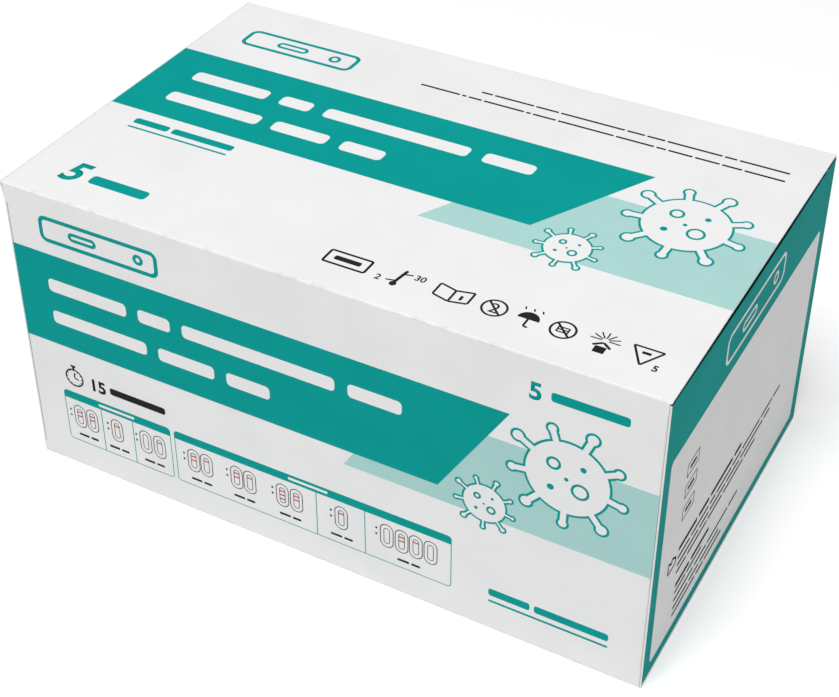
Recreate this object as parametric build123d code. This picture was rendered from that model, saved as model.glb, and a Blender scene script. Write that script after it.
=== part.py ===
from build123d import *
from math import asin, atan2, cos, degrees, radians, sin, sqrt
import os

# Closed folding carton with a tuck lid at each end, and the kit of five tests that it holds.
# X runs along the carton, Y across it and Z up. The origin is the middle of the bottom face.
# All sizes are in millimetres.

# Carton, outside
length = 200.0            # between the faces of the two closure panels
width = 126.0             # front panel to back panel
height = 99.0             # bottom panel to top panel
board = 0.5               # thickness of the board
fold_radius = 0.6         # outer radius of the long folds and of the dust flap folds

# Glue flap, inside the back panel
glue_flap_height = 15.0
glue_flap_inset = 3.0     # how far it stops short of the panel's ends
glue_flap_slant = 6.0     # how much shorter its free edge is, at each end

# Dust flaps, folded in from the front and back panels behind each lid
dust_flap_opening = 30.0  # between the free edges of the front and back flaps
dust_flap_gap = 0.1       # from the lid's inner face
dust_flap_foot = 6.0      # height of its lower corner above the lid's own crease
dust_flap_notch = 4.0     # slanted relief beside that crease
dust_flap_relief = 3.6    # how far its other edge stays below the tuck flap
dust_flap_taper = 9.0     # drop of that edge at the free end
dust_flap_corner = 8.0

# Lids: closure panel and tuck flap
lid_side_gap = 0.12       # from the outside of the front or back panel, each side
lid_top_gap = 0.25        # below the panel it tucks under
lid_overhang_gap = 0.1    # how far that panel's end stops short of the lid's face
lid_sag = 1.1             # bow of the tuck crease at mid width
lid_fold_radius = 0.7     # outer radius of the tuck crease
hinge_gap = 0.1           # between the lid and the end of the panel that carries it
tuck_depth = 17.0
tuck_side_gap = 1.2       # from the inside of the front or back panel
tuck_corner = 11.0
tuck_slack = 0.4          # extra dip in degrees, so that the tuck swings clear
lock_slit = 8.0           # slit at each end of the tuck crease
lock_slit_gap = 0.3
lid_crease_rise = 0.9     # how far the left lid's crease stands proud of its panel
lid_crease_run = 6.0      # over this height

# Foil pouches, a flat stack
pouch_count = 5
pouch_share = 0.68        # of the carton's inner width
pouch_rim = 8.0
pouch_slope = 12.0        # from the rim to the flat crown
pouch_film = 0.3
pouch_thickness = 7.0
pouch_corner = 2.0
pouch_notch = 1.6

# Swab packs, a flat stack
swab_count = 5
swab_pack_width = 20.0
swab_pack_film = 0.3
swab_pack_seal = 12.0     # flat length at each end of the ridge
swab_ridge_width = 7.0
swab_ridge_height = 2.4
swab_ridge_slope = 35.0

# Prefilled tubes with nozzle caps, in a stand
tube_count = 5
tube_length = 52.0
tube_lip = 1.2            # how far the flange stands out from the neck
tube_taper = 0.9          # how much slimmer the tube is above its foot
tube_foot_bevel = 1.5     # all round its foot
tube_foot_rise = 3.0      # height of that bevel
tube_flange = 1.6
cap_wall = 0.8
cap_fit = 0.1
cap_seat = 2.0
cap_skirt = 5.0
cap_shoulder = 3.0
cap_shoulder_radius = 3.4
cap_nozzle = 9.0
cap_tip_radius = 1.7
cap_tip_bore = 0.4
cap_ribs = 12
cap_rib = 0.35
cap_gap = 1.0            # between the caps of neighbouring tubes
rack_share = 0.72         # of the carton's inner width
rack_height = 22.0
rack_depth = 28.0
rack_floor = 3.0
rack_margin = 1.25        # at each end, past the room of the last tube
rack_corner = 4.0
socket_fit = 0.3

# Folded leaflet, on the pouches
sheet_end_gap = 5.0       # from the ends of the pouches
sheet_side_gap = 1.5
sheet_panels = 6
sheet_thickness = 0.25
sheet_pitch = 0.6

# Places of the contents
wall_gap = 1.0            # from the front panel
tuck_room = 2.5           # from the left tuck flap, which lies along the bottom panel
row_gap = 4.0             # between pouches and stand
end_room = 17.1           # between the stand and the right dust flaps
swab_end_room = 5.1       # between the swab packs and the right dust flaps

# Worked out from the sizes above
wall_line = width / 2 - board / 2
floor_line = board / 2
roof_line = height - board / 2
fold_line_radius = fold_radius - board / 2
panel_end = length / 2 - board - dust_flap_gap
lid_width = width - 2 * lid_side_gap
tuck_width = width - 2 * board - 2 * tuck_side_gap
tuck_line = height - board - lid_top_gap - board / 2
inner_floor = board
inner_front = -width / 2 + board
inner_width = width - 2 * board
inner_right = panel_end - board
tuck_reach = length / 2 - board / 2 - tuck_depth
contents_left = -tuck_reach + tuck_room
dust_flap_length = (width - dust_flap_opening) / 2
pouch_length = inner_right - end_room - rack_depth - row_gap - contents_left
pouch_width = pouch_share * inner_width
pouch_edge = pouch_rim + pouch_slope
swab_pack_length = inner_right - swab_end_room - contents_left
rack_length = rack_share * inner_width
swab_row_gap = (inner_width - wall_gap - rack_length - swab_pack_width) / 2
tube_pitch = (rack_length - 2 * rack_margin) / tube_count
tube_flange_radius = (tube_pitch - cap_gap) / 2 - cap_fit - cap_wall - cap_rib
tube_neck_radius = tube_flange_radius - tube_lip
tube_foot_radius = tube_neck_radius - tube_taper
sheet_length = pouch_length - 2 * sheet_end_gap
sheet_width = pouch_width - 2 * sheet_side_gap


def strip(points, radius, thickness):
    """Flat section of a sheet that runs along the points, with round folds."""
    return trace(FilletPolyline(*points, radius=radius), line_width=thickness)


def along_x(section, start, end):
    """Section drawn in Y and Z, pulled from one X to another."""
    return extrude(Plane.YZ.offset(start) * section, amount=end - start)


def along_y(section, start, end):
    """Section drawn in X and Z, pulled from one Y to another."""
    return extrude(Plane.XZ.offset(-end) * section, amount=end - start)


def block(low, high):
    """Box between two corners."""
    size = [b - a for a, b in zip(low, high)]
    middle = [(a + b) / 2 for a, b in zip(low, high)]
    return Pos(*middle) * Box(*size)


def end_for_end(shape):
    """The same shape at the other end of the carton, with top and bottom changed over."""
    return shape.rotate(Axis((0, 0, height / 2), (0, 1, 0)), 180)


def flared_corners():
    """Room for the front and back panels beside a crease that stands proud, as at the right end."""
    outline = make_face(
        Polyline(
            (panel_end - board, 0),
            (panel_end + lid_crease_rise, 0),
            (panel_end + lid_crease_rise, floor_line),
            (panel_end, floor_line + lid_crease_run),
            (panel_end - board, floor_line + lid_crease_run),
            close=True,
        )
    )
    return along_y(outline, -width, width)


def sleeve():
    """Four panels round the carton: back, top, front and bottom, cut to length at both ends."""
    section = strip(
        [
            (wall_line, 0),
            (wall_line, roof_line),
            (-wall_line, roof_line),
            (-wall_line, floor_line),
            (wall_line - board - fold_line_radius, floor_line),
        ],
        fold_line_radius,
        board,
    )
    tuck_end = length / 2 - lid_overhang_gap
    crease_end = length / 2 + lid_crease_rise - board - hinge_gap
    body = along_x(section, -crease_end, tuck_end)
    far = length
    right_cut = block((length / 2 - board - hinge_gap, -width, -board), (far, width, height - board))
    left_cut = block((-far, -width, board), (-panel_end, width, height - board))
    left_cut -= end_for_end(flared_corners())
    bottom_cut = block((-far, -width, -board), (-tuck_end, width, height - board))
    return body - right_cut - left_cut - bottom_cut


def glue_flap():
    """Flap on the bottom panel, folded up and glued inside the back panel."""
    flap_line = wall_line - board
    section = strip(
        [
            (flap_line - glue_flap_inset, floor_line),
            (flap_line, floor_line),
            (flap_line, glue_flap_height),
        ],
        fold_line_radius,
        board,
    )
    end = panel_end - glue_flap_inset
    outline = make_face(
        Polyline(
            (-end, 0),
            (end, 0),
            (end, fold_radius),
            (end - glue_flap_slant, glue_flap_height),
            (-end + glue_flap_slant, glue_flap_height),
            (-end, fold_radius),
            close=True,
        )
    )
    return along_x(section, -end, end) & along_y(outline, 0, width)


def dust_flap_outline():
    """Outline of a right-hand dust flap in Y and Z, measured from the front panel's outside."""
    low = board + dust_flap_foot
    high = height - board - dust_flap_relief
    free = dust_flap_length
    corners = Polyline(
        (-1, low),
        (fold_radius, low),
        (fold_radius + dust_flap_notch, low + dust_flap_notch),
        (free, low + dust_flap_notch),
        (free, high - dust_flap_taper),
        (fold_radius + dust_flap_notch, high),
        (-1, high),
        close=True,
    )
    face = make_face(corners)
    outer = face.vertices().filter_by(lambda v: v.X > free - 1)
    return Pos(-width / 2, 0) * fillet(outer, dust_flap_corner)


def right_dust_flaps():
    """Front and back dust flaps of the right end, each with its fold."""
    flap_line = panel_end - board / 2
    section = strip(
        [
            (flap_line - 2 * fold_radius, -wall_line),
            (flap_line, -wall_line),
            (flap_line, -width / 2 + dust_flap_length),
        ],
        fold_line_radius,
        board,
    )
    front = extrude(section, amount=height) & along_x(dust_flap_outline(), 0, length)
    return front + mirror(front, Plane.XZ)


def right_fold_room():
    """What the right end of the front and back panels loses where the dust flaps bend away."""
    low = board + dust_flap_foot
    high = height - board - dust_flap_relief
    start = panel_end - fold_radius
    front = block((start, -width, low), (length, -width / 2 + fold_radius, high))
    return front + mirror(front, Plane.XZ)


def carton_body():
    """The whole blank apart from its lids: sleeve, glue flap and four dust flaps in one piece."""
    room = right_fold_room()
    flaps = right_dust_flaps()
    body = sleeve() - room - end_for_end(room)
    body += flaps + end_for_end(flaps)
    return body + glue_flap()


def tuck_dip(rise):
    """Angle of the tuck flap below its crease, so that its tip swings no further out than the crease."""
    reach = tuck_line - floor_line
    depth = tuck_depth + rise
    drop = reach - sqrt(reach**2 - depth**2)
    return degrees(atan2(drop, tuck_depth)) + tuck_slack


def tuck_outline():
    """Plan of the tuck flap: rounded at its free corners, open towards the crease."""
    face = make_face(
        Polyline(
            (tuck_reach - board, -tuck_width / 2),
            (length, -tuck_width / 2),
            (length, tuck_width / 2),
            (tuck_reach - board, tuck_width / 2),
            close=True,
        )
    )
    free = face.vertices().filter_by(lambda v: v.X < tuck_reach)
    return fillet(free, tuck_corner)


def tuck_and_crease(rise):
    """Tuck flap with its bowed crease and the top strip of the closure panel below it."""
    dip = radians(tuck_dip(rise))
    panel_line = length / 2 - board / 2
    middle = tuck_line - lid_sag
    section = strip(
        [
            (panel_line, middle - tuck_depth),
            (panel_line, middle),
            (panel_line - tuck_depth * cos(dip), middle - tuck_depth * sin(dip)),
        ],
        lid_fold_radius - board / 2,
        board,
    )
    half = lid_width / 2
    bow_radius = (half**2 + lid_sag**2) / (2 * lid_sag)
    bow_axis = Axis((0, 0, middle + bow_radius), (1, 0, 0))
    swing = degrees(asin(half / bow_radius)) * 1.1
    bowed = revolve((Plane.XZ * section).rotate(bow_axis, -swing), bow_axis, 2 * swing)
    crease_half = half - lock_slit
    tuck_plan = extrude(tuck_outline(), amount=height)
    slit_face = length / 2 - board - lock_slit_gap
    crease_zone = block((0, -crease_half, 0), (length, crease_half, height))
    tuck_zone = block((0, -width, 0), (slit_face, width, height))
    return bowed & tuck_plan & (crease_zone + tuck_zone)


def closure_panel(rise):
    """Closure panel from its hinge crease up to the shoulders beside the tuck crease."""
    panel_line = length / 2 - board / 2
    hinge = (panel_line + rise, floor_line)
    half = lid_width / 2
    crease_half = half - lock_slit
    shoulder = tuck_line + board / 2 - lock_slit_gap
    strip_top = tuck_line - lid_sag - tuck_depth / 2
    path = [hinge, (panel_line, shoulder)]
    if rise > 0:
        path.insert(1, (panel_line, floor_line + lid_crease_run))
        section = strip(path, lid_crease_run / 2, board)
    else:
        section = trace(Line(*path), line_width=board)
    section += Pos(*hinge) * Circle(board / 2)
    panel = along_y(section, -half, half)
    return panel - block((0, -crease_half, strip_top), (length, crease_half, height))


def lid(rise):
    """Lid as the right end carries it, hinged at the bottom panel."""
    return closure_panel(rise) + tuck_and_crease(rise)


def pouch():
    """Sealed foil pouch, lying flat: a crimped rim round a pillow with a flat crown."""
    rim = extrude(RectangleRounded(pouch_length, pouch_width, pouch_corner), amount=pouch_film / 2, both=True)
    base_length = pouch_length - 2 * pouch_rim
    base_width = pouch_width - 2 * pouch_rim
    base = Pos(0, 0, pouch_film / 2) * RectangleRounded(base_length, base_width, pouch_rim)
    crown_length = pouch_length - 2 * pouch_edge
    crown_width = pouch_width - 2 * pouch_edge
    crown = Pos(0, 0, pouch_thickness / 2) * RectangleRounded(crown_length, crown_width, pouch_rim / 2)
    pillow = loft([base.face(), crown.face()])
    notch_line = pouch_length / 2 - pouch_rim
    notch = make_face(
        Polyline(
            (notch_line - pouch_notch, pouch_width / 2),
            (notch_line, pouch_width / 2 - 2 * pouch_notch),
            (notch_line + pouch_notch, pouch_width / 2),
            close=True,
        )
    )
    cut = extrude(notch, amount=pouch_film, both=True)
    return rim + pillow + mirror(pillow, Plane.XY) - cut - mirror(cut, Plane.XZ)


def swab_pack():
    """Sealed peel pack, lying flat: paper below, and a ridge where the swab lies."""
    base = extrude(Rectangle(swab_pack_length, swab_pack_width), amount=swab_pack_film)
    ridge_length = swab_pack_length - 2 * swab_pack_seal
    outline = Pos(0, 0, swab_pack_film) * SlotOverall(ridge_length, swab_ridge_width)
    return base + extrude(outline, amount=swab_ridge_height, taper=swab_ridge_slope)


def tube():
    """Prefilled tube, standing: tapered body with a bevelled foot and a flange at its sealed mouth."""
    body_top = tube_length - tube_flange
    outline = make_face(
        Polyline(
            (0, 0),
            (tube_foot_radius - tube_foot_bevel, 0),
            (tube_foot_radius, tube_foot_rise),
            (tube_neck_radius, body_top),
            (tube_flange_radius, body_top),
            (tube_flange_radius, tube_length),
            (0, tube_length),
            close=True,
        )
    )
    return revolve(Plane.XZ * outline, Axis.Z)


def tube_cap():
    """Nozzle cap, standing on the tube's mouth: ribbed skirt over the flange, shoulder and tip."""
    bore = tube_flange_radius + cap_fit
    skirt = bore + cap_wall
    deck = cap_wall
    shoulder = deck + cap_shoulder
    tip = shoulder + cap_nozzle
    outline = make_face(
        Polyline(
            (bore - cap_seat, 0),
            (bore, 0),
            (bore, -cap_skirt),
            (skirt, -cap_skirt),
            (skirt, deck),
            (cap_shoulder_radius, shoulder),
            (cap_tip_radius, tip),
            (cap_tip_bore, tip),
            (cap_tip_radius, deck),
            close=True,
        )
    )
    cap = revolve(Plane.XZ * outline, Axis.Z)
    rib = Pos(skirt, 0, (deck - cap_skirt) / 2) * Box(2 * cap_rib, 2 * cap_rib, cap_skirt)
    for place in range(cap_ribs):
        cap += rib.rotate(Axis.Z, 360 / cap_ribs * place)
    return cap


def tube_rack():
    """Stand for the tubes: a rounded block with a socket for each."""
    block_plan = RectangleRounded(rack_depth, rack_length, rack_corner)
    stand = extrude(block_plan, amount=rack_height)
    for place in tube_places():
        socket = Pos(0, place, rack_floor) * Cylinder(
            tube_radius_at(rack_height - rack_floor) + socket_fit,
            rack_height,
            align=(Align.CENTER, Align.CENTER, Align.MIN),
        )
        stand -= socket
    return stand


def tube_places():
    """Y of each tube, from the middle of the stand."""
    return [(place - (tube_count - 1) / 2) * tube_pitch for place in range(tube_count)]


def tube_radius_at(z):
    """Radius of the tube's tapered body at a height above its foot."""
    share = (z - tube_foot_rise) / (tube_length - tube_flange - tube_foot_rise)
    return tube_foot_radius + tube_taper * share


def leaflet():
    """Instruction sheet folded to and fro, lying flat, one piece with round folds."""
    half = sheet_width / 2
    points = []
    for panel in range(sheet_panels):
        side = half if panel % 2 else -half
        z = sheet_thickness / 2 + panel * sheet_pitch
        points += [(side, z), (-side, z)]
    section = strip(points, sheet_pitch / 2 * 0.98, sheet_thickness)
    return along_x(section, -sheet_length / 2, sheet_length / 2)


def save(shape, node):
    """Write one node as a single solid where it is one."""
    solids = shape.solids()
    shape = solids[0] if len(solids) == 1 else Compound(solids)
    shape.label = node
    export_step(shape, f"parts/{node}.step")


def save_stack(shape, node, count, place, pitch):
    """Write copies of a flat piece, each lying on the one below."""
    x, y = place
    for number in range(count):
        save(Pos(x, y, inner_floor + number * pitch) * shape, f"{node}_{number + 1}")


os.makedirs("parts", exist_ok=True)

save(carton_body(), "carton_body")
save(lid(0), "right_lid")
save(end_for_end(lid(lid_crease_rise)), "left_lid")

row_front = inner_front + wall_gap
pouch_place = (contents_left + pouch_length / 2, row_front + pouch_width / 2)
flat_pouch = Pos(0, 0, pouch_thickness / 2) * pouch()
save_stack(flat_pouch, "test_pouch", pouch_count, pouch_place, pouch_thickness)

swab_row = row_front + rack_length + swab_row_gap
swab_place = (contents_left + swab_pack_length / 2, swab_row + swab_pack_width / 2)
swab_pitch = swab_pack_film + swab_ridge_height
save_stack(swab_pack(), "swab_pack", swab_count, swab_place, swab_pitch)

rack_x = contents_left + pouch_length + row_gap + rack_depth / 2
rack_y = row_front + rack_length / 2
save(Pos(rack_x, rack_y, inner_floor) * tube_rack(), "tube_rack")
for number, place in enumerate(tube_places(), 1):
    foot = Pos(rack_x, rack_y + place, inner_floor + rack_floor)
    save(foot * tube(), f"buffer_tube_{number}")
    save(foot * Pos(0, 0, tube_length) * tube_cap(), f"tube_cap_{number}")

stack_top = inner_floor + pouch_count * pouch_thickness
save(Pos(*pouch_place, stack_top) * leaflet(), "leaflet")
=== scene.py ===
from math import cos, radians, sin, tau

import bpy
from mathutils import Matrix, Vector


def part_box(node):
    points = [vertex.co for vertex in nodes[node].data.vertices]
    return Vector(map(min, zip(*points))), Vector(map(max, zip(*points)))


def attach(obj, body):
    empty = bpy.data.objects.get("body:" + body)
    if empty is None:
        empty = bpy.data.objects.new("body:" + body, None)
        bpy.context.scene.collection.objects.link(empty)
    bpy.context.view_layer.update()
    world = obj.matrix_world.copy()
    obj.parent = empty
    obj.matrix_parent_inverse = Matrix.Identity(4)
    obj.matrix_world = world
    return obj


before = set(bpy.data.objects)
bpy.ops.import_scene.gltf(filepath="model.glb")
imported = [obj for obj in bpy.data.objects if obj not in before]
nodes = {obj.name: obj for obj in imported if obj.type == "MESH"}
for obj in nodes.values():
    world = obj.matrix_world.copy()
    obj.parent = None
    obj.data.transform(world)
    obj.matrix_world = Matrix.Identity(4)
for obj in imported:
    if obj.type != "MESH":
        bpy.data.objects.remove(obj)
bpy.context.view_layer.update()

mm = 0.001

# the carton's own faces, read from the solids
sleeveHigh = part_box("carton_body")[1]
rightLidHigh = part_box("right_lid")[1]
halfWidth = sleeveHigh.y
cartonHeight = sleeveHigh.z
endFace = rightLidHigh.x
middleHeight = cartonHeight / 2


# Camera and stage
camera = {
    "place": (0.1941, -0.3579, 0.3533),
    "turn": 28.67,          # degrees round from the front
    "tilt": 35.37,          # degrees down
    "lens": 72.86,
    "shiftY": -0.096,
}

studio = {
    "sky": 0.30,
    "keyPlace": (0.06, -0.78, 2.1),
    "keySize": 1.1,
    "keyPower": 37.0,
    "floorSize": 8.0,
    "floorColour": (0.90, 0.90, 0.90, 1),
    "floorLift": 0.22,      # what the camera sees on top of the floor's own light
}


def setCamera(values):
    turn, tilt = radians(values["turn"]), radians(values["tilt"])
    ahead = Vector((-sin(turn) * cos(tilt), cos(turn) * cos(tilt), -sin(tilt)))
    bpy.ops.object.camera_add(location=values["place"])
    seer = bpy.context.object
    seer.name = "photo_camera"
    seer.rotation_mode = "QUATERNION"
    seer.rotation_quaternion = ahead.to_track_quat("-Z", "Y")
    seer.data.lens = values["lens"]
    seer.data.shift_y = values["shiftY"]
    seer.data.clip_start = 0.01
    bpy.context.scene.camera = seer


def setSky(strength):
    # the camera itself sees pure white
    world = bpy.data.worlds.new("studio")
    world.use_nodes = True
    bpy.context.scene.world = world
    tree = world.node_tree
    sky = tree.nodes["Background"]
    sky.inputs["Color"].default_value = (1, 1, 1, 1)
    sky.inputs["Strength"].default_value = strength
    white = tree.nodes.new("ShaderNodeBackground")
    white.inputs["Color"].default_value = (1, 1, 1, 1)
    rays = tree.nodes.new("ShaderNodeLightPath")
    mix = tree.nodes.new("ShaderNodeMixShader")
    tree.links.new(rays.outputs["Is Camera Ray"], mix.inputs[0])
    tree.links.new(sky.outputs[0], mix.inputs[1])
    tree.links.new(white.outputs[0], mix.inputs[2])
    tree.links.new(mix.outputs[0], tree.nodes["World Output"].inputs["Surface"])


def hangKeyLamp(values):
    key = Vector(values["keyPlace"])
    bpy.ops.object.light_add(type="AREA", location=key)
    lamp = bpy.context.object
    lamp.name = "key_lamp"
    lamp.rotation_mode = "QUATERNION"
    lamp.rotation_quaternion = (Vector((0, 0, middleHeight)) - key).to_track_quat("-Z", "Y")
    lamp.data.size = values["keySize"]
    lamp.data.energy = values["keyPower"]


def layFloor(values):
    bpy.ops.mesh.primitive_plane_add(size=values["floorSize"])
    floor = bpy.context.object
    floor.name = "studio_floor"
    paint = bpy.data.materials.new("floor_paper")
    paint.use_nodes = True
    tree = paint.node_tree
    shader = tree.nodes["Principled BSDF"]
    shader.inputs["Base Color"].default_value = values["floorColour"]
    shader.inputs["Roughness"].default_value = 0.9
    shader.inputs["Specular IOR Level"].default_value = 0.0
    shader.inputs["Emission Color"].default_value = (1, 1, 1, 1)
    rays = tree.nodes.new("ShaderNodeLightPath")
    lift = tree.nodes.new("ShaderNodeMath")
    lift.operation = "MULTIPLY"
    lift.inputs[1].default_value = values["floorLift"]
    tree.links.new(rays.outputs["Is Camera Ray"], lift.inputs[0])
    tree.links.new(lift.outputs[0], shader.inputs["Emission Strength"])
    floor.data.materials.append(paint)


bpy.context.scene.view_settings.view_transform = "Standard"
setCamera(camera)
setSky(studio["sky"])
hangKeyLamp(studio)
layFloor(studio)
print("camera, lamps and floor are set")


# Finishes: sums on a Wire add Math nodes to its material
class Wire:
    def __init__(self, finish, socket):
        self.finish = finish
        self.socket = socket

    def maths(self, operation, *values):
        return self.finish.node("Math", {"operation": operation}, dict(enumerate((self, *values))))

    def __add__(self, other):
        return self.maths("ADD", other)

    __radd__ = __add__

    def __sub__(self, other):
        return self.maths("SUBTRACT", other)

    def __rsub__(self, other):
        return self * -1 + other

    def __mul__(self, other):
        return self.maths("MULTIPLY", other)

    __rmul__ = __mul__

    def __truediv__(self, other):
        return self.maths("DIVIDE", other)

    def __gt__(self, other):
        return self.maths("GREATER_THAN", other)

    def __lt__(self, other):
        return self.maths("LESS_THAN", other)

    def __abs__(self):
        return self.maths("ABSOLUTE")

    def sign(self):
        return self.maths("SIGN")

    def least(self, other):
        return self.maths("MINIMUM", other)

    def most(self, other):
        return self.maths("MAXIMUM", other)

    def ramp(self, low, high):
        settings = {"interpolation_type": "SMOOTHSTEP"}
        return self.finish.node("MapRange", settings, {0: self, 1: low, 2: high})


class Finish:
    def __init__(self, name, **constants):
        self.material = bpy.data.materials.new(name)
        self.material.use_nodes = True
        self.tree = self.material.node_tree
        self.shader = self.tree.nodes["Principled BSDF"]
        for socket, value in constants.items():
            self.feed(self.shader.inputs[socket.replace("_", " ")], value)
        self.place = self.node("TexCoord", {}, {}, "Object")
        self.x, self.y, self.z = self.split(self.place)

    def feed(self, socket, value):
        if isinstance(value, Wire):
            self.tree.links.new(value.socket, socket)
        elif socket.type == "RGBA" and len(value) == 3:
            socket.default_value = (*value, 1)
        else:
            socket.default_value = value

    def node(self, kind, settings, inputs, output=0):
        made = self.tree.nodes.new("ShaderNode" + kind)
        for name, value in settings.items():
            setattr(made, name, value)
        for name, value in inputs.items():
            self.feed(made.inputs[name], value)
        return Wire(self, made.outputs[output])

    def split(self, vector):
        parts = self.tree.nodes.new("ShaderNodeSeparateXYZ")
        self.feed(parts.inputs[0], vector)
        return [Wire(self, socket) for socket in parts.outputs]

    def stretched(self, x, y, z):
        return self.node("Mapping", {}, {"Vector": self.place, "Scale": (x, y, z)})

    def noise(self, scale, detail, rough=0.5, place=None):
        inputs = {"Vector": place or self.place, "Scale": scale, "Detail": detail, "Roughness": rough}
        return self.node("TexNoise", {}, inputs, "Fac")

    def cells(self, scale, feature="F1", place=None):
        inputs = {"Vector": place or self.place, "Scale": scale}
        return self.node("TexVoronoi", {"feature": feature}, inputs, "Distance")

    def mix(self, share, first, second):
        return self.node("Mix", {"data_type": "RGBA"}, {0: share, 6: first, 7: second}, 2)

    def colour(self, value):
        self.feed(self.shader.inputs["Base Color"], value)

    def roughness(self, value):
        self.feed(self.shader.inputs["Roughness"], value)

    def relief(self, height, depth, strength):
        bump = self.node("Bump", {}, {"Height": height, "Distance": depth, "Strength": strength})
        self.feed(self.shader.inputs["Normal"], bump)


def linear(red, green, blue):
    def one(value):
        share = value / 255
        return share / 12.92 if share <= 0.04045 else ((share + 0.055) / 1.055) ** 2.4
    return (one(red), one(green), one(blue))


board = {
    "coated": linear(243, 243, 243),
    "coatedShade": linear(239, 239, 240),
    "raw": linear(233, 230, 222),
    "rawShade": linear(222, 218, 208),
    "core": linear(240, 239, 236),
    "ink": linear(12, 159, 154),
    "inkShade": linear(10, 154, 149),
    "thickness": 0.5 * mm,
    "bleed": 4.5 * mm,       # how far the lid's ink runs over onto its tuck flap
    "hingeStop": 1.2 * mm,   # how far that ink stops short of the lid's hinge
    "rub": linear(212, 211, 208),  # where the coating is worn at a fold
    "rubWide": 0.8 * mm,
    "mouthEdge": 2 * mm,     # the dust flaps lie further in than this from top and bottom
    "sheen": 0.02,           # specular level of the coating and of the inks on it
    "slit": linear(3, 22, 22),   # painted shade: near-black where the narrow slit above the tuck crease lies in shade, not ink
    "slitDepth": 2.4 * mm,
    "roughness": 0.5,
    "facing": 0.7,           # a normal past this lies along the axis
}


def boardRelief(finish, coarse=1.0):
    fibre = finish.noise(900, 3, 0.6, finish.stretched(1, 0.45, 1))
    flow = finish.noise(28, 1)
    finish.relief(fibre * (0.35 * coarse) + flow * 4, 0.04 * mm, 0.5)
    return fibre


def boardFinish(name, printed):
    # coated and printed outside, raw inside, and the pale core at every cut edge
    finish = Finish(name, IOR=1.45, Specular_IOR_Level=board["sheen"])
    normal = finish.node("TexCoord", {}, {}, "Normal")
    normalX, normalY, normalZ = finish.split(normal)
    aboveMiddle = finish.z - middleHeight
    halfBoard = board["thickness"] / 2
    fibre = boardRelief(finish)
    cloud = finish.noise(45, 3)
    coated = finish.mix(cloud.ramp(0.35, 0.7), board["coated"], board["coatedShade"])
    raw = finish.mix((cloud * 0.6 + fibre * 0.4).ramp(0.3, 0.7), board["raw"], board["rawShade"])
    nearSide = abs(finish.y) > halfWidth - board["rubWide"]
    nearRoof = abs(aboveMiddle) > middleHeight - board["rubWide"]
    rub = nearSide * nearRoof * finish.noise(240, 3).ramp(0.48, 0.72)
    coated = finish.mix(rub * 0.5, coated, board["rub"])
    if printed:
        outward = normalX * finish.x.sign() + normalZ * aboveMiddle.sign()
        outside = outward > 0.3
        fromHinge = aboveMiddle * finish.x.sign() + middleHeight
        onPanel = (abs(finish.x) > endFace - board["bleed"]) * (fromHinge > board["hingeStop"])
        ink = finish.mix(cloud.ramp(0.3, 0.75), board["ink"], board["inkShade"])
        # painted shade: faces of the tuck flap turned up under the top panel's edge, near the crease, go
        # near-black
        facesPanel = (normalZ * aboveMiddle.sign()).ramp(0.3, 0.75)
        paintedSlitShadeMask = facesPanel * (abs(finish.x) > endFace - board["slitDepth"])
        coated = finish.mix(onPanel, coated, finish.mix(paintedSlitShadeMask, ink, board["slit"]))
        edge = abs(normalY) > board["facing"]
    else:
        shell = (abs(finish.y) > halfWidth - halfBoard).most(abs(aboveMiddle) > middleHeight - halfBoard)
        belowRoof = abs(aboveMiddle) < middleHeight - board["mouthEdge"]
        betweenSides = abs(finish.y) < halfWidth - 1.2 * board["thickness"]
        inMouth = betweenSides * belowRoof
        flapFace = (normalX * finish.x.sign() > board["facing"]) * inMouth
        outside = shell.most(flapFace)
        edge = (abs(normalX) > board["facing"]) * (1 - inMouth)
    skin = finish.mix(outside, raw, coated)
    finish.colour(finish.mix(edge, skin, board["core"]))
    finish.roughness((1 - outside) * 0.25 + fibre * 0.12 + board["roughness"])
    return finish.material


def inkFinish(name, colour, shade, rough=0.52):
    finish = Finish(name, IOR=1.45, Specular_IOR_Level=board["sheen"])
    fibre = boardRelief(finish, 0.7)
    cloud = finish.noise(60, 3)
    grain = finish.noise(1500, 2)
    tone = cloud.ramp(0.3, 0.75) * 0.7 + grain.ramp(0.45, 0.8) * 0.3
    finish.colour(finish.mix(tone, colour, shade))
    finish.roughness(fibre * 0.1 + rough)
    return finish.material


inks = {
    "teal": inkFinish("ink_teal", board["ink"], board["inkShade"]),
    "pale": inkFinish("ink_pale_teal", linear(176, 218, 214), linear(172, 214, 210)),
    "black": inkFinish("ink_black", linear(38, 36, 37), linear(48, 46, 47)),
    "red": inkFinish("ink_red", linear(196, 52, 64), linear(184, 50, 62)),
    "white": inkFinish("ink_left_white", board["coated"], board["coatedShade"], 0.56),
}


foil = {
    "light": linear(214, 216, 219),
    "dark": linear(190, 193, 198),
    "rim": 7.5 * mm,         # sealed edge with slanted ridges
    "ridge": 1.4 * mm,       # from one ridge to the next
}


def foilFinish():
    finish = Finish("pouch_foil_crinkled", Metallic=0.85, IOR=1.5)
    low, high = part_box("test_pouch_1")
    middleX, middleY = (low.x + high.x) / 2, (low.y + high.y) / 2
    fromEndX = (high.x - low.x) / 2 - abs(finish.x - middleX)
    fromEndY = (high.y - low.y) / 2 - abs(finish.y - middleY)
    rim = fromEndX.least(fromEndY) < foil["rim"]
    ridges = ((finish.x + finish.y) * (tau / foil["ridge"])).maths("SINE") * 0.5 + 0.5
    creases = finish.cells(70, "DISTANCE_TO_EDGE", place=finish.stretched(1, 1.4, 1)).ramp(0, 0.25)
    crinkle = finish.noise(160, 3, 0.6)
    finish.relief(rim * ridges * 0.5 + (1 - rim) * creases * 0.8 + crinkle * 0.7, 0.5 * mm, 0.6)
    finish.colour(finish.mix(crinkle.ramp(0.3, 0.7), foil["light"], foil["dark"]))
    finish.roughness(crinkle * 0.25 + 0.25)
    return finish.material


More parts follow.
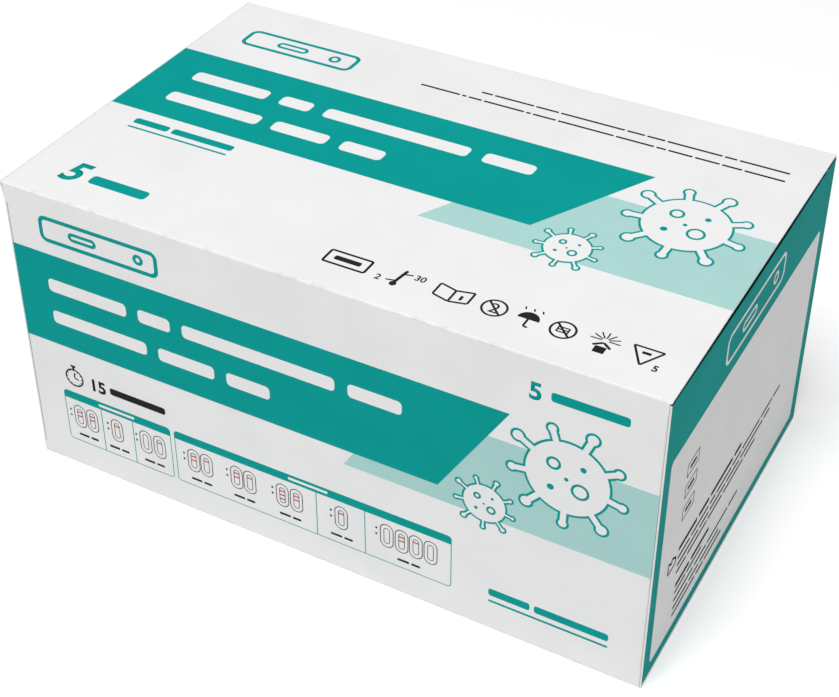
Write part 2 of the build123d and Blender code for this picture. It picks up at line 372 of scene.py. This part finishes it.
swab = {
    "paper": linear(240, 240, 237),
    "paperShade": linear(226, 227, 226),
    "film": linear(214, 222, 226),
    "stick": linear(246, 246, 244),
    "filmHalf": 4.4 * mm,    # half the width of the clear ridge
    "stickHalf": 1.2 * mm,
}


def swabFinish():
    # peel paper with a clearer film over the ridge
    finish = Finish("swab_peel_paper", IOR=1.45)
    low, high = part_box("swab_pack_1")
    middleY = (low.y + high.y) / 2
    off = abs(finish.y - middleY)
    film = off < swab["filmHalf"]
    stick = (off < swab["stickHalf"]) * film
    fibre = finish.noise(1100, 3, 0.6, finish.stretched(0.4, 1, 1))
    weave = finish.cells(900)
    paper = finish.mix(fibre.ramp(0.3, 0.7), swab["paper"], swab["paperShade"])
    clear = finish.mix(stick, swab["film"], swab["stick"])
    finish.colour(finish.mix(film, paper, clear))
    finish.roughness(0.62 - film * 0.34 + fibre * 0.1)
    finish.relief(fibre * 0.5 + weave * (1 - film) * 0.8, 0.1 * mm, 0.5)
    return finish.material


tube = {
    "empty": linear(228, 234, 236),
    "filled": linear(196, 214, 220),
    "level": 0.42,           # of the tube's height
    "meniscus": 0.6 * mm,
}


def tubeFinish():
    # cloudy soft plastic, darker where it is filled
    finish = Finish("tube_cloudy_plastic", IOR=1.49, Coat_Roughness=0.2)
    low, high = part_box("buffer_tube_1")
    level = low.z + (high.z - low.z) * tube["level"]
    wave = finish.noise(120, 2)
    filled = (finish.z + wave * (0.4 * mm)).ramp(level + tube["meniscus"], level)
    finish.colour(finish.mix(filled, tube["empty"], tube["filled"]))
    finish.roughness(wave * 0.15 + 0.26)
    finish.relief(wave, 0.1 * mm, 0.3)
    return finish.material


cap = {"light": linear(238, 239, 240), "shade": linear(230, 232, 234)}


def capFinish():
    finish = Finish("cap_gloss_plastic", IOR=1.5)
    cloud = finish.noise(300, 3)
    pits = finish.noise(1800, 2)
    finish.colour(finish.mix(cloud.ramp(0.3, 0.7), cap["light"], cap["shade"]))
    finish.roughness(cloud * 0.12 + 0.2)
    finish.relief(pits, 0.03 * mm, 0.4)
    return finish.material


foam = {"bead": linear(244, 244, 243), "seam": linear(222, 223, 224)}


def foamFinish():
    # pressed beads, darker where one meets the next
    finish = Finish("rack_white_foam", IOR=1.4)
    beads = finish.cells(420)
    pores = finish.noise(1600, 3)
    finish.colour(finish.mix(beads.ramp(0.2, 0.75), foam["bead"], foam["seam"]))
    finish.roughness(pores * 0.1 + 0.7)
    finish.relief(beads * -1 + pores * 0.3, 0.5 * mm, 0.7)
    return finish.material


leaflet = {
    "paper": linear(243, 242, 238),
    "paperShade": linear(232, 231, 226),
    "print": linear(70, 72, 74),
    "row": 2.6 * mm,         # from one row of print to the next
    "marginX": 8 * mm,
    "marginY": 7 * mm,
}


def leafletFinish():
    # thin paper with rows of grey print that spell nothing
    finish = Finish("leaflet_thin_paper", IOR=1.45)
    low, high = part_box("leaflet")
    fibre = finish.noise(1000, 3, 0.6)
    row = (finish.y - low.y) / leaflet["row"]
    inRow = row.maths("FRACT")
    rowNumber = row.maths("FLOOR")
    across = finish.node("CombineXYZ", {}, {0: finish.x * 260, 1: rowNumber * 7.3, 2: 0.0})
    letters = finish.noise(1.0, 1, 0.5, across) > 0.44
    fromEndX = (high.x - low.x) / 2 - abs(finish.x - (low.x + high.x) / 2)
    fromEndY = (high.y - low.y) / 2 - abs(finish.y - (low.y + high.y) / 2)
    inside = (fromEndX > leaflet["marginX"]) * (fromEndY > leaflet["marginY"])
    marks = letters * inside * (inRow > 0.3) * (inRow < 0.62)
    paper = finish.mix(fibre.ramp(0.3, 0.7), leaflet["paper"], leaflet["paperShade"])
    finish.colour(finish.mix(marks * 0.75, paper, leaflet["print"]))
    finish.roughness(fibre * 0.1 + 0.66)
    finish.relief(fibre, 0.06 * mm, 0.5)
    return finish.material


def dress(material, *names):
    for name in names:
        part = nodes[name]
        part.data.materials.clear()
        part.data.materials.append(material)


def numbered(name, count):
    return [f"{name}_{number + 1}" for number in range(count)]


dress(boardFinish("board_coated", False), "carton_body")
dress(boardFinish("board_printed_lids_with_painted_shade", True), "right_lid", "left_lid")
dress(foilFinish(), *numbered("test_pouch", 5))
dress(swabFinish(), *numbered("swab_pack", 5))
dress(tubeFinish(), *numbered("buffer_tube", 5))
dress(capFinish(), *numbered("tube_cap", 5))
dress(foamFinish(), "tube_rack")
dress(leafletFinish(), "leaflet")
print("board, foil, paper and plastic are on the solids")


# Print: flat marks drawn in millimetres from a panel's upper left corner, then laid on that panel
printing = {
    "layer": 0.02 * mm,      # each ink layer stands this much higher
    "sunk": 0.02 * mm,       # and starts this far inside the board
    "lift": 0.002 * mm,      # keeps marks of one layer apart where they cross
    "roundSteps": 5,
    "discSteps": 48,
    "wordRound": 0.3,        # corner of a word's bar, of its height
}


def panelPlace(corner, right, down):
    right, down = Vector(right), Vector(down)
    turn = Matrix((right, -down, right.cross(-down))).transposed().to_4x4()
    return Matrix.Translation(corner) @ turn


panels = {
    "top": panelPlace((-endFace, halfWidth, cartonHeight), (1, 0, 0), (0, -1, 0)),
    "front": panelPlace((-endFace, -halfWidth, cartonHeight), (1, 0, 0), (0, 0, -1)),
    "back": panelPlace((endFace, halfWidth, cartonHeight), (-1, 0, 0), (0, 0, -1)),
    "rightEnd": panelPlace((endFace, -halfWidth, cartonHeight), (0, 1, 0), (0, 0, -1)),
    "leftEnd": panelPlace((-endFace, halfWidth, cartonHeight), (0, -1, 0), (0, 0, -1)),
}


def freshShape(add, x, y, **how):
    bpy.ops.object.select_all(action="DESELECT")
    add(location=(x * mm, -y * mm, 0), **how)
    bpy.ops.object.mode_set(mode="EDIT")


def hollowOut(wall):
    if wall:
        bpy.ops.mesh.inset(thickness=wall * mm)
        bpy.ops.mesh.delete(type="FACE")


def shapeDone(lift=0):
    bpy.ops.object.mode_set(mode="OBJECT")
    shape = bpy.context.object
    shape.location.z = lift * printing["lift"]
    return shape


def bar(left, top, right, bottom, corner=0.0, hollow=0.0, lift=0):
    freshShape(bpy.ops.mesh.primitive_plane_add, (left + right) / 2, (top + bottom) / 2, size=mm)
    bpy.ops.transform.resize(value=(right - left, bottom - top, 1))
    if corner:
        roundest = min(corner, (bottom - top) / 2, (right - left) / 2) * 0.999
        bpy.ops.mesh.bevel(offset=roundest * mm, segments=printing["roundSteps"], affect="VERTICES")
    hollowOut(hollow)
    return shapeDone(lift)


def disc(x, y, radius, hollow=0.0, steps=None, lift=0):
    how = {"radius": radius * mm, "vertices": steps or printing["discSteps"], "fill_type": "NGON"}
    freshShape(bpy.ops.mesh.primitive_circle_add, x, y, **how)
    hollowOut(hollow)
    return shapeDone(lift)


def line(x0, y0, x1, y1, thick, lift=0):
    run = Vector((x1 - x0, y0 - y1))
    middleX, middleY = (x0 + x1) / 2, (y0 + y1) / 2
    half = run.length / 2
    low, high = middleY - thick / 2, middleY + thick / 2
    shape = bar(middleX - half, low, middleX + half, high, thick / 2, lift=lift)
    shape.rotation_euler.z = -Vector((1, 0)).angle_signed(run)
    return shape


def path(points, thick, lift=0):
    runs = enumerate(zip(points, points[1:]))
    return [line(*start, *end, thick, lift + number) for number, (start, end) in runs]


def slanted(left, top, right, bottom, leftSlant=0.0, rightSlant=0.0):
    # a band whose lower corners are set in from the upper ones
    freshShape(bpy.ops.mesh.primitive_plane_add, (left + right) / 2, (top + bottom) / 2, size=mm)
    bpy.ops.transform.resize(value=(right - left, bottom - top, 1))
    shape = bpy.context.object
    for side, slant in ((-1, leftSlant), (1, rightSlant)):
        bpy.ops.object.mode_set(mode="OBJECT")
        for vertex in shape.data.vertices:
            vertex.select = vertex.co.y < 0 and vertex.co.x * side > 0
        for edge in shape.data.edges:
            edge.select = False
        for face in shape.data.polygons:
            face.select = False
        bpy.ops.object.mode_set(mode="EDIT")
        bpy.ops.mesh.select_mode(type="VERT")
        bpy.ops.transform.translate(value=(slant * mm, 0, 0))
    return shapeDone()


def numeral(figures, left, base, height, lean=0.0, weight=0.0):
    bpy.ops.object.select_all(action="DESELECT")
    bpy.ops.object.text_add(location=(left * mm, -base * mm, 0))
    text = bpy.context.object
    text.data.body = figures
    text.data.resolution_u = 4
    text.data.shear = lean
    text.data.offset = weight
    bpy.ops.object.convert(target="MESH")
    shape = bpy.context.object
    bpy.context.view_layer.update()
    size = height * mm / shape.dimensions.y
    shape.scale = (size, size, 1)
    return shape


def words(left, right, middle, height, pattern, gap=None):
    # a line of print as plain rounded bars, one for each word
    gap = gap or height * 0.9
    unit = (right - left - gap * (len(pattern) - 1)) / sum(pattern)
    top, bottom = middle - height / 2, middle + height / 2
    made = []
    for letters in pattern:
        made.append(bar(left, top, left + unit * letters, bottom, height * printing["wordRound"]))
        left += unit * letters + gap
    return made


def layPrint(name, panel, body, ink, layer, marks):
    bpy.ops.object.select_all(action="DESELECT")
    for mark in marks:
        mark.select_set(True)
    bpy.context.view_layer.objects.active = marks[0]
    if len(marks) > 1:
        bpy.ops.object.join()
    bpy.ops.object.transform_apply(location=True, rotation=True, scale=True)
    piece = bpy.context.object
    bpy.ops.object.mode_set(mode="EDIT")
    bpy.ops.mesh.select_all(action="SELECT")
    bpy.ops.mesh.remove_doubles(threshold=0.0005 * mm)
    bpy.ops.mesh.normals_make_consistent(inside=False)
    bpy.ops.object.mode_set(mode="OBJECT")
    if piece.data.polygons[0].normal.z < 0:
        piece.data.flip_normals()
    film = piece.modifiers.new("film", "SOLIDIFY")
    film.thickness = layer * printing["layer"] + printing["sunk"]
    film.offset = 0
    bpy.ops.object.modifier_apply(modifier=film.name)
    rise = (layer * printing["layer"] - printing["sunk"]) / 2
    piece.data.transform(panels[panel] @ Matrix.Translation((0, 0, rise)))
    piece.name = name
    piece.data.materials.clear()
    piece.data.materials.append(inks[ink])
    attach(piece, body)


def onCarton(name, panel, ink, layer, marks):
    layPrint(name, panel, "carton", ink, layer, marks)


# Cell-like figure: a round body with knobbed spikes, each outlined
figure = {
    "line": 0.95,
    "thinLine": 0.62,        # share of the line's width that is left at no radius
    "fullRadius": 13,        # at this radius the line has its full width
    "spikes": 9,
    "spikeStart": 12.0,      # degrees
    # shares of the body's radius; every other spike is the short one
    "reach": 1.34,
    "shortReach": 1.26,
    "root": 0.9,
    "stalk": 0.125,
    "knob": 0.18,
    "smallKnob": 0.153,
}


def spikedFigure(x, y, radius, inset):
    marks = [disc(x, y, radius - inset)]
    for spike in range(figure["spikes"]):
        angle = radians(figure["spikeStart"] + 360 / figure["spikes"] * spike)
        reach = radius * figure["reach" if spike % 2 else "shortReach"]
        root = radius * figure["root"]
        tipX, tipY = x + reach * cos(angle), y + reach * sin(angle)
        rootX, rootY = x + root * cos(angle), y + root * sin(angle)
        thick = (radius * figure["stalk"] - inset) * 2
        knob = radius * figure["knob" if spike % 2 else "smallKnob"] - inset
        if thick > 0:
            marks.append(line(rootX, rootY, tipX, tipY, thick, lift=-1 - spike % 2))
        marks.append(disc(tipX, tipY, knob, steps=20, lift=-4))
    return marks


def figureDetails(x, y, radius, thick):
    return [
        disc(x - radius * 0.32, y - radius * 0.30, radius * 0.17, thick, 28),
        disc(x + radius * 0.30, y + radius * 0.24, radius * 0.21, thick, 28),
        disc(x + radius * 0.34, y - radius * 0.38, radius * 0.07, 0, 16),
        disc(x - radius * 0.36, y + radius * 0.36, radius * 0.08, 0, 16),
        disc(x - radius * 0.02, y + radius * 0.02, radius * 0.05, 0, 16),
    ]


def cassetteMark(left, top, right, bottom, thick):
    # outline of a flat test holder with its window and round well
    high = bottom - top
    windowLeft, windowRight = left + high * 1.15, left + high * 2.25
    edge = high * 0.33
    return [
        bar(left, top, right, bottom, high * 0.28, thick),
        bar(windowLeft, top + edge, windowRight, bottom - edge, high * 0.2, thick * 0.8),
        disc(right - high * 0.75, (top + bottom) / 2, high * 0.2, thick * 0.8, 28),
    ]


faces = {
    # sizes in millimetres from the upper left corner of each panel
    "top": {
        "band": (-0.3, 36.5, 159.2, 75.0),
        "bandSlant": -20.5,
        "pale": (109.8, 51.7, 199.9, 85.3),
        "figures": ((175.5, 54.8, 12.9), (152.0, 80.0, 6.9)),
        "mark": (12.2, 15.4, 52.6, 25.6),
        "titles": ((12.4, 128.2, 49.9), (12.4, 87.0, 63.6)),
        "titleHeight": 5.2,
        "subtitle": (12.4, 47.0, 80.6, 2.8),
        "count": (11.3, 116.3, 9.6),
        "countWord": (21.0, 40.3, 112.9, 4.0),
        "lean": 0.2,
    },
    "front": {
        "band": (0.6, 20.2, 158.5, 52.8),
        "bandSlant": -20.2,
        "pale": (109.2, 29.7, 199.4, 58.0),
        "figures": ((175.0, 34.7, 12.3), (152.2, 53.3, 6.7)),
        "mark": (11.4, 7.1, 52.0, 15.9),
        "titles": ((11.8, 127.6, 31.1), (11.8, 86.2, 42.5)),
        "titleHeight": 4.5,
        "subtitle": (154.2, 189.6, 84.9, 2.6),
        "count": (163.3, 12.7, 5.6),
        "countWord": (169.4, 190.3, 10.2, 2.9),
        "lean": 0.0,
    },
}
faces["back"] = faces["front"]   # the back repeats the front's plan

titleWords = ((5, 2, 9, 3), (7, 4, 3))


def panelBands(name, plan):
    left, top, right, bottom = plan["pale"]
    slope = plan["bandSlant"] / (plan["band"][3] - plan["band"][1])
    paleSlant = slope * (bottom - top)
    pale = slanted(left - paleSlant, top, right, bottom, leftSlant=paleSlant)
    onCarton(f"{name}_pale_band", name, "pale", 1, [pale])
    teal = slanted(*plan["band"], rightSlant=plan["bandSlant"])
    onCarton(f"{name}_teal_band", name, "teal", 2, [teal])
    lines = []
    for (start, end, middle), pattern in zip(plan["titles"], titleWords):
        lines += words(start, end, middle, plan["titleHeight"], pattern)
    onCarton(f"{name}_title_bars", name, "white", 3, lines)
    onCarton(f"{name}_holder_mark", name, "teal", 1, cassetteMark(*plan["mark"], 1.3))


def panelFigures(name, plan):
    outline, inner, details = [], [], []
    for x, y, radius in plan["figures"]:
        grown = (1 - figure["thinLine"]) * radius / figure["fullRadius"]
        thick = figure["line"] * (figure["thinLine"] + grown)
        outline += spikedFigure(x, y, radius, 0)
        inner += spikedFigure(x, y, radius, thick * 0.75)
        details += figureDetails(x, y, radius, thick * 0.8)
    onCarton(f"{name}_figure_outline", name, "teal", 3, outline)
    onCarton(f"{name}_figure_white", name, "white", 4, inner)
    onCarton(f"{name}_figure_details", name, "teal", 5, details)


def panelCounts(name, plan):
    # the number of tests with a bar for its word, and the underlined line
    left, base, height = plan["count"]
    wordLeft, wordRight, wordMiddle, wordHeight = plan["countWord"]
    marks = [numeral("5", left, base, height, plan["lean"], 0.03)]
    marks += words(wordLeft, wordRight, wordMiddle, wordHeight, (1,))
    left, right, middle, height = plan["subtitle"]
    marks += words(left, right, middle, height, (4, 7), 1.3)
    marks.append(line(left, middle + height * 1.3, right, middle + height * 1.3, 0.75))
    onCarton(f"{name}_counts", name, "teal", 1, marks)


for faceName, facePlan in faces.items():
    panelBands(faceName, facePlan)
    panelFigures(faceName, facePlan)
    panelCounts(faceName, facePlan)
print("bands, figures and counts are printed on top, front and back")


# Row of black symbols and the two small lines on the top
symbols = {
    "line": 0.62,
    "row": 112.8,            # middle of the row, then where each symbol stands in it
    "boxedSign": (97.8, 111.0),
    "thermometer": 119.4,
    "openBook": 135.3,
    "ringedTwo": 147.0,
    "umbrella": 156.4,
    "ringedBox": 165.9,
    "sunAndHouse": 176.8,
    "triangleSign": 187.6,
    "smallLines": (
        (94.7, 191.7, 16.8, (2, 7, 4, 11, 3, 3, 9, 2, 8)),
        (76.2, 191.7, 21.3, (9, 1, 3, 9, 1, 5, 12, 8, 2, 5, 5, 4, 8)),
    ),
    "smallHeight": 0.8,
}


def boxedSign(left, right, middle, thick):
    return [
        bar(left, middle - 3.1, right, middle + 3.1, 0.9, hollow=thick * 1.2),
        bar(left + 2.6, middle - 0.9, right - 2.6, middle + 0.9, 0.5),
    ]


def thermometer(x, middle, thick):
    marks = [disc(x, middle + 3.0, 1.0, steps=20)]
    marks.append(line(x, middle + 2.6, x + 1.0, middle - 3.6, thick * 1.5, 1))
    marks += path([(x - 2.6, middle + 2.2), (x, middle + 1.6)], thick * 0.8, 2)
    marks += path([(x + 0.9, middle - 1.8), (x + 3.3, middle - 2.4)], thick * 0.8, 3)
    marks.append(numeral("2", x - 5.6, middle + 3.3, 2.4, 0.0, 0.02))
    marks.append(numeral("30", x + 3.9, middle - 0.9, 2.4, 0.0, 0.02))
    return marks


def openBook(x, middle, thick):
    high, wide = 3.1, 4.9
    marks = []
    for side in (-1, 1):
        page = [
            (x, middle - high + 1.2),
            (x + side * wide, middle - high),
            (x + side * wide, middle + high - 1.2),
            (x, middle + high),
        ]
        marks += path(page, thick, 5 * (side + 1))
    marks.append(line(x, middle - high + 1.2, x, middle + high, thick, 20))
    marks.append(line(x + 2.5, middle - 0.6, x + 2.5, middle + 1.4, thick * 1.3, 21))
    return marks


def slashedRing(x, middle, thick):
    radius = 3.6
    reach = radius * 0.68
    slash = line(x - reach, middle - reach, x + reach, middle + reach, thick, 3)
    return [disc(x, middle, radius, thick), slash]


def ringedTwo(x, middle, thick):
    return slashedRing(x, middle, thick) + [numeral("2", x - 1.4, middle + 2.0, 4.0)]


def ringedBox(x, middle, thick):
    return slashedRing(x, middle, thick) + [
        bar(x - 1.7, middle - 1.2, x + 1.7, middle + 1.2, 0.2, hollow=0.45),
        line(x - 1.5, middle, x + 1.5, middle, 0.4, 4),
    ]


def umbrella(x, middle, thick):
    rimLevel = middle + 0.2
    canopy = disc(x, rimLevel, 3.0, steps=28)
    bpy.ops.object.mode_set(mode="EDIT")
    bpy.ops.mesh.select_all(action="SELECT")
    bpy.ops.mesh.bisect(plane_co=(x * mm, -rimLevel * mm, 0), plane_no=(0, 1, 0), clear_inner=True)
    bpy.ops.object.mode_set(mode="OBJECT")
    marks = [canopy]
    marks += path([(x, middle), (x, middle + 3.2), (x + 1.3, middle + 3.4)], thick, 2)
    for drop in (-2.2, 0.2, 2.6):
        marks.append(line(x + drop, middle - 3.4, x + drop - 0.5, middle - 4.5, thick * 0.7, 4))
    return marks


def sunAndHouse(x, middle, thick):
    marks = [bar(x - 1.5, middle + 1.6, x + 1.5, middle + 4.2, 0.2)]
    marks += path([(x - 2.4, middle + 1.7), (x, middle - 0.1), (x + 2.4, middle + 1.7)], thick * 1.2, 2)
    sunLevel = middle - 1.0
    for number in range(7):
        angle = radians(180 + 180 / 6 * number)
        rayX, rayY = cos(angle), sin(angle)
        start = (x + 0.9 * rayX, sunLevel + 0.9 * rayY)
        end = (x + 4.0 * rayX, sunLevel + 3.4 * rayY)
        marks.append(line(*start, *end, thick * 0.6, 5 + number))
    return marks


def triangleSign(x, middle, thick):
    corners = [(x - 4.0, middle - 3.2), (x + 4.0, middle - 3.2), (x, middle + 3.7)]
    marks = path(corners + corners[:1], thick)
    marks.append(bar(x - 1.2, middle - 1.7, x + 1.2, middle - 0.7, 0.2))
    marks.append(numeral("5", x + 3.2, middle + 4.4, 2.4, 0.0, 0.03))
    return marks


def topSymbols(plan):
    row, thick = plan["row"], plan["line"]
    marks = boxedSign(*plan["boxedSign"], row, thick)
    marks += thermometer(plan["thermometer"], row, thick)
    marks += openBook(plan["openBook"], row, thick)
    marks += ringedTwo(plan["ringedTwo"], row, thick)
    marks += umbrella(plan["umbrella"], row, thick)
    marks += ringedBox(plan["ringedBox"], row, thick)
    marks += sunAndHouse(plan["sunAndHouse"], row, thick)
    marks += triangleSign(plan["triangleSign"], row, thick)
    onCarton("top_symbols", "top", "black", 1, marks)
    lines = []
    for left, right, middle, pattern in plan["smallLines"]:
        lines += words(left, right, middle, plan["smallHeight"], pattern)
    onCarton("top_small_lines", "top", "black", 1, lines)


topSymbols(symbols)
print("symbols are printed on top")


# Front: stopwatch, and two tables of how a test may look
timer = {
    "place": (16.2, 64.0),
    "radius": 3.3,
    "line": 0.5,
    "minutes": (21.7, 66.2, 4.6),      # left, base and height of the number
    "word": (29.2, 49.0, 64.0, 2.5),   # left, right, middle and height
}

tables = {
    "top": 69.9,
    "bottom": 89.1,
    "head": 2.9,
    "headWord": (13.0, 1.0, 1.9),      # width, top and bottom in the head
    "line": 0.26,
    "corner": 1.3,
    "windowMiddle": 79.0,
    "windowWide": 4.3,
    "windowHigh": 8.7,
    "stripWide": 2.0,
    "stripHigh": 5.8,
    "redWide": 1.6,
    "redHigh": 0.4,
    "redRise": 1.6,                    # from the window's middle up to the first red line
    "redStep": 1.5,                    # from one red line to the next
    "label": (7.2, 86.2, 0.8),         # width, middle and height
    # each group of windows: where they stand, and how many red lines each shows
    "first": {
        "span": (11.2, 50.0),
        "rules": (24.7, 36.2),
        "windows": (((16.2, 2), (20.8, 2)), ((30.0, 1),), ((40.5, 0), (45.5, 1))),
    },
    "second": {
        "span": (51.3, 142.8),
        "rules": (99.7, 115.5),
        "windows": (
            ((57.7, 2), (62.2, 1)),
            ((72.7, 2), (77.2, 1)),
            ((88.3, 3), (93.0, 2)),
            ((107.8, 1),),
            ((122.5, 0), (127.2, 2), (131.7, 1), (136.3, 0)),
        ),
    },
}


def stopwatch(x, y, radius, thick):
    marks = [disc(x, y, radius, thick), line(x, y, x + radius * 0.1, y - radius * 0.6, thick, 2)]
    marks.append(line(x, y, x + radius * 0.45, y + radius * 0.15, thick, 3))
    marks.append(bar(x - 0.9, y - radius - 1.4, x + 0.9, y - radius - 0.7, 0.2, lift=4))
    marks.append(bar(x - 0.35, y - radius - 0.9, x + 0.35, y - radius + 0.2, lift=5))
    for tick in range(12):
        angle = tau / 12 * tick
        acrossX, acrossY = radius * cos(angle), radius * sin(angle)
        start = (x + 0.72 * acrossX, y + 0.72 * acrossY)
        end = (x + 0.86 * acrossX, y + 0.86 * acrossY)
        marks.append(line(*start, *end, 0.25, 6))
    return marks


def tableFrame(plan, table):
    left, right = table["span"]
    top, bottom, thin = plan["top"], plan["bottom"], plan["line"]
    headBottom = top + plan["head"]
    marks = [
        bar(left, top, right, bottom, plan["corner"], thin),
        bar(left, top, right, headBottom, plan["corner"], lift=2),
        bar(left, top + plan["corner"], right, headBottom, lift=4),
    ]
    return marks + [bar(x - thin / 2, headBottom, x + thin / 2, bottom, lift=6) for x in table["rules"]]


def testWindow(plan, x):
    wide, high, middle = plan["windowWide"] / 2, plan["windowHigh"] / 2, plan["windowMiddle"]
    strip, tall = plan["stripWide"] / 2, plan["stripHigh"] / 2
    return [
        bar(x - wide, middle - high, x + wide, middle + high, wide, plan["line"]),
        bar(x - strip, middle - tall, x + strip, middle + tall, 0.95, plan["line"] * 0.8, lift=1),
    ]


def redLines(plan, x, count):
    first = plan["windowMiddle"] - plan["redRise"]
    wide, high = plan["redWide"] / 2, plan["redHigh"] / 2
    levels = [first + plan["redStep"] * number for number in range(count)]
    return [bar(x - wide, level - high, x + wide, level + high) for level in levels]


def groupLabels(plan, places):
    # two short words below a group of windows, and two small marks at its left
    middle = sum(places) / len(places)
    wide, level, height = plan["label"]
    marks = words(middle - wide / 2, middle + wide / 2, level, height, (4, 3))
    markRight = places[0] - plan["windowWide"] / 2 - 0.9
    for step in range(2):
        markTop = plan["windowMiddle"] - 2.1 + step * 2.2
        marks.append(bar(markRight - 0.6, markTop, markRight, markTop + 0.7, 0.1))
    return marks


def resultTables(name, plan):
    frames, heads, outlines, reds = [], [], [], []
    for table in (plan["first"], plan["second"]):
        frames += tableFrame(plan, table)
        middle = sum(table["span"]) / 2
        wide, wordTop, wordBottom = plan["headWord"]
        top = plan["top"]
        heads.append(bar(middle - wide / 2, top + wordTop, middle + wide / 2, top + wordBottom, 0.3))
        for group in table["windows"]:
            outlines += groupLabels(plan, [x for x, count in group])
            for x, count in group:
                outlines += testWindow(plan, x)
                reds += redLines(plan, x, count)
    onCarton(f"{name}_table_frames", name, "teal", 1, frames)
    onCarton(f"{name}_table_heads", name, "white", 2, heads)
    onCarton(f"{name}_table_windows", name, "black", 1, outlines)
    onCarton(f"{name}_table_red_lines", name, "red", 2, reds)


def waitingTime(name, plan):
    marks = stopwatch(*plan["place"], plan["radius"], plan["line"])
    marks.append(numeral("15", *plan["minutes"], 0.0, 0.03))
    marks += words(*plan["word"], (1,))
    onCarton(f"{name}_stopwatch", name, "black", 1, marks)


waitingTime("front", timer)
resultTables("front", tables)
print("stopwatch and tables are printed on the front")


# Ends: a pale field on the teal lid, with rows of small print
endField = {
    "field": (4.8, 22.8, 120.6, 93.9),
    "corner": 1.6,
    "mark": (40.0, 8.1, 85.7, 18.3),
    "signs": (33.7, 41.0, 48.8),       # tops of three boxed signs
    "signWide": (18.3, 26.7),
    "signHigh": 4.6,
    # outline of a small building with two slanted roofs
    "workshop": [
        (11.8, 67.2),
        (11.8, 63.2),
        (14.2, 65.0),
        (14.2, 63.2),
        (17.2, 65.0),
        (17.2, 67.2),
        (11.8, 67.2),
    ],
    # left, right, middle and height of each row, and the lengths of its words
    "rows": (
        (18.9, 66.8, 63.8, 1.5, (7, 4, 9, 3)),
        (18.9, 100.8, 67.0, 1.0, (6, 9, 3, 8, 5, 10, 7, 4)),
        (18.9, 92.6, 69.8, 1.0, (9, 4, 7, 6, 11, 3)),
        (18.9, 80.6, 72.5, 1.0, (4, 8, 6, 9, 5)),
        (19.5, 44.7, 77.9, 1.5, (6, 8)),
        (19.5, 39.7, 80.6, 1.0, (5, 7)),
        (19.5, 69.3, 83.7, 1.0, (8, 5, 9, 4)),
        (19.5, 54.8, 86.7, 1.0, (6, 4, 8)),
        (19.5, 57.3, 89.4, 1.0, (9, 3, 7)),
    ),
}


def endPrint(name, body, plan):
    field = bar(*plan["field"], plan["corner"])
    layPrint(f"{name}_field", name, body, "white", 1, [field])
    holder = cassetteMark(*plan["mark"], 1.1)
    layPrint(f"{name}_holder_mark", name, body, "white", 1, holder)
    marks = []
    for row in plan["rows"]:
        marks += words(*row)
    left, right = plan["signWide"]
    for top in plan["signs"]:
        marks.append(bar(left, top, right, top + plan["signHigh"], 0.3, hollow=0.4))
        marks.append(bar(left + 1.9, top + 1.7, right - 1.9, top + 2.9, 0.2))
    marks += path(plan["workshop"], 0.7)
    layPrint(f"{name}_small_print", name, body, "black", 2, marks)


endPrint("rightEnd", "right_lid", endField)
endPrint("leftEnd", "left_lid", endField)
print("both ends are printed")
